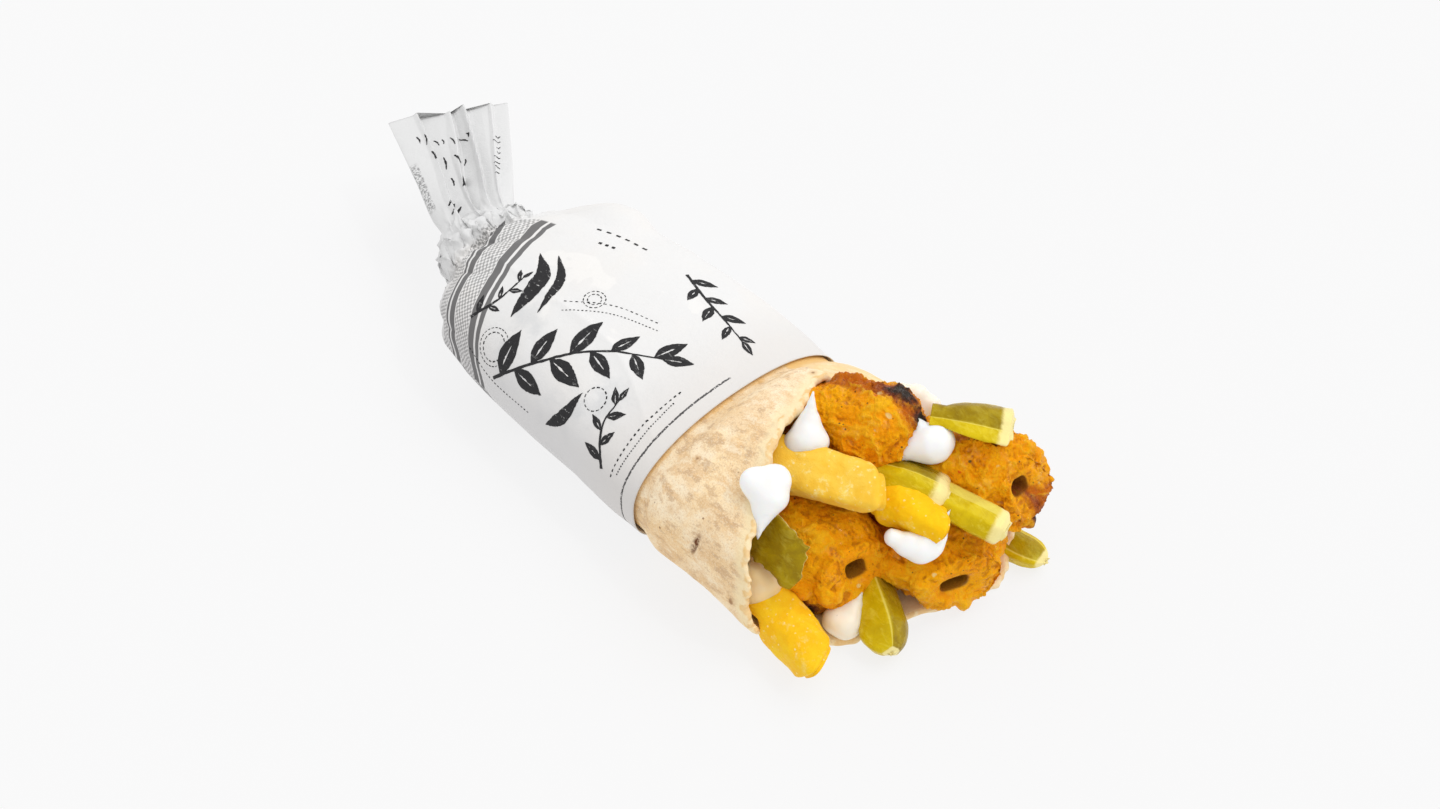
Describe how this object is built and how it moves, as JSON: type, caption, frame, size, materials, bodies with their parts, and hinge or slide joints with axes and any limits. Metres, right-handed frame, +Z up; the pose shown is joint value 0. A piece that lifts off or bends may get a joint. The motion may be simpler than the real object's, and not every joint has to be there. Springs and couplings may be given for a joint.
{
  "type": "saj wrap",
  "caption": "Flat bread rolled round skewered kebab, potato chips, pickles and garlic sauce, in a printed paper sleeve twisted shut at one end. It lies on its side.",
  "frame": {"origin": "The centre of the bounding box on the plane that the wrap rests on.", "axes": "+X runs along the roll from the twisted tail to the open end, +Z is up, and +Y is the left side as seen from the tail."},
  "size_m": [0.2474, 0.0884, 0.056],
  "materials": {
    "paper": "thin off-white wrapping paper, matt, softly creased, printed in black and grey",
    "bread": "thin griddled flat bread, matt, cream with pale brown mottling and small char spots",
    "kebab": "grilled minced kebab, rough, orange-brown with charred ridges and an oily glint",
    "chip": "fried potato, golden yellow, finely rough with a thin film of oil",
    "pickle": "pickled cucumber, wet and glossy, olive skin and paler cut faces",
    "sauce": "thick white garlic sauce, smooth with a soft sheen"
  },
  "bodies": {
    "root": {"paper_sleeve": "paper", "bread": "bread", "kebab_near": "kebab", "kebab_front": "kebab", "kebab_far": "kebab", "kebab_top": "kebab", "chip_top": "chip", "chip_middle": "chip", "chip_low": "chip", "pickle_long": "pickle", "pickle_top": "pickle", "pickle_curved": "pickle", "pickle_leaf": "pickle", "pickle_wedge": "pickle", "pickle_low": "pickle", "sauce_near": "sauce", "sauce_peak": "sauce", "sauce_far": "sauce", "sauce_middle": "sauce", "sauce_side": "sauce", "sauce_low": "sauce", "sauce_rear": "sauce", "sauce_core": "sauce"}
  },
  "joints": []
}
